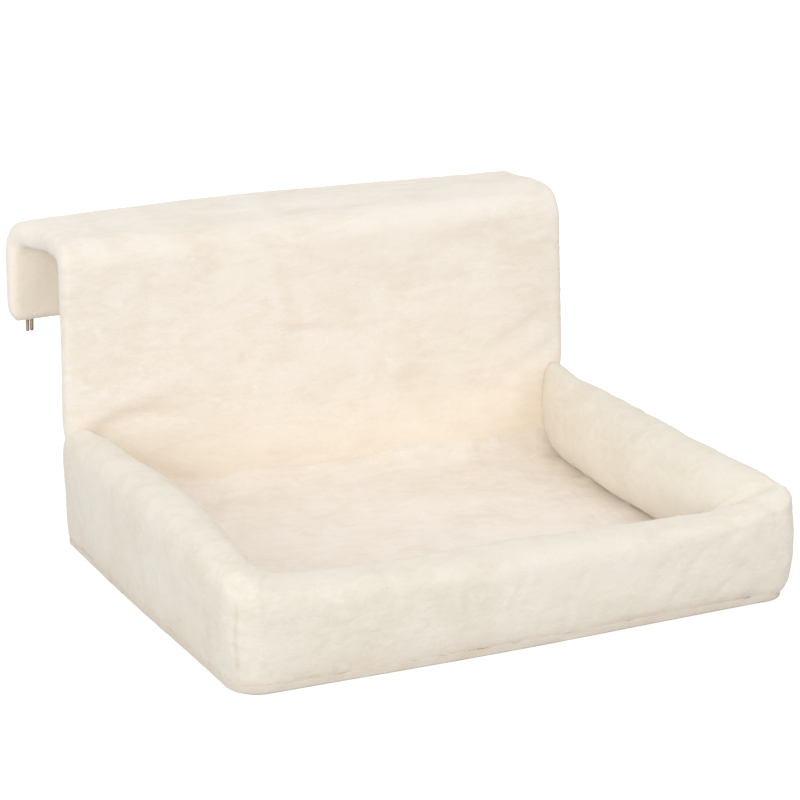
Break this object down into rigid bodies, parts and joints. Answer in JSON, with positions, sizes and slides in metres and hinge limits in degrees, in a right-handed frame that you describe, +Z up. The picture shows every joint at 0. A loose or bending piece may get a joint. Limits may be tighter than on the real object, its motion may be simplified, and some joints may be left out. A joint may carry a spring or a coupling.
{
  "type": "radiator cat bed",
  "caption": "Plush cat bed with a padded rim on three sides; a padded strip with steel hooks inside hangs it on a radiator.",
  "frame": {"origin": "centre of the flat underside of the tub, midway between its front face and the back panel's rear face", "axes": "+X to the right, +Y towards the radiator and the hooks, +Z up"},
  "size_m": [0.4672, 0.478, 0.252],
  "materials": {
    "plush": "short cream plush pile",
    "wadding": "white polyester wadding",
    "foam": "open foam",
    "coated_steel": "satin coated tube",
    "bronzed_wire": "satin bronze",
    "zinc_screw": "zinc plated",
    "black_plastic": "moulded",
    "closure_tape": "hook and loop tape"
  },
  "bodies": {
    "bed": {"base_cover": "plush", "base_pad": "foam", "base_hoop": "coated_steel", "left_upright": "coated_steel", "right_upright": "coated_steel", "joint_screws": "zinc_screw", "floor_crossbar_1": "coated_steel", "floor_crossbar_2": "coated_steel", "floor_crossbar_3": "coated_steel", "back_rail_1": "coated_steel", "back_rail_2": "coated_steel", "back_rail_3": "coated_steel", "left_arm_cap": "black_plastic", "right_arm_cap": "black_plastic", "back_cover": "plush", "back_wadding": "wadding", "floor_pad": "foam", "floor_cover": "plush", "left_bolster_cover": "plush", "left_bolster_filling": "wadding", "front_bolster_cover": "plush", "front_bolster_filling": "wadding", "right_bolster_cover": "plush", "right_bolster_filling": "wadding", "closure_loop_strip": "closure_tape", "closure_hook_strip": "closure_tape"},
    "hooks": {"left_hook": "bronzed_wire", "right_hook": "bronzed_wire", "hook_spreader": "bronzed_wire", "flap_cover": "plush", "flap_wadding": "wadding"}
  },
  "joints": [
    {"name": "hook_slide", "type": "slide", "parent": "bed", "child": "hooks", "axis": [0, 1, 0], "range_m": [0, 0.028]}
  ]
}
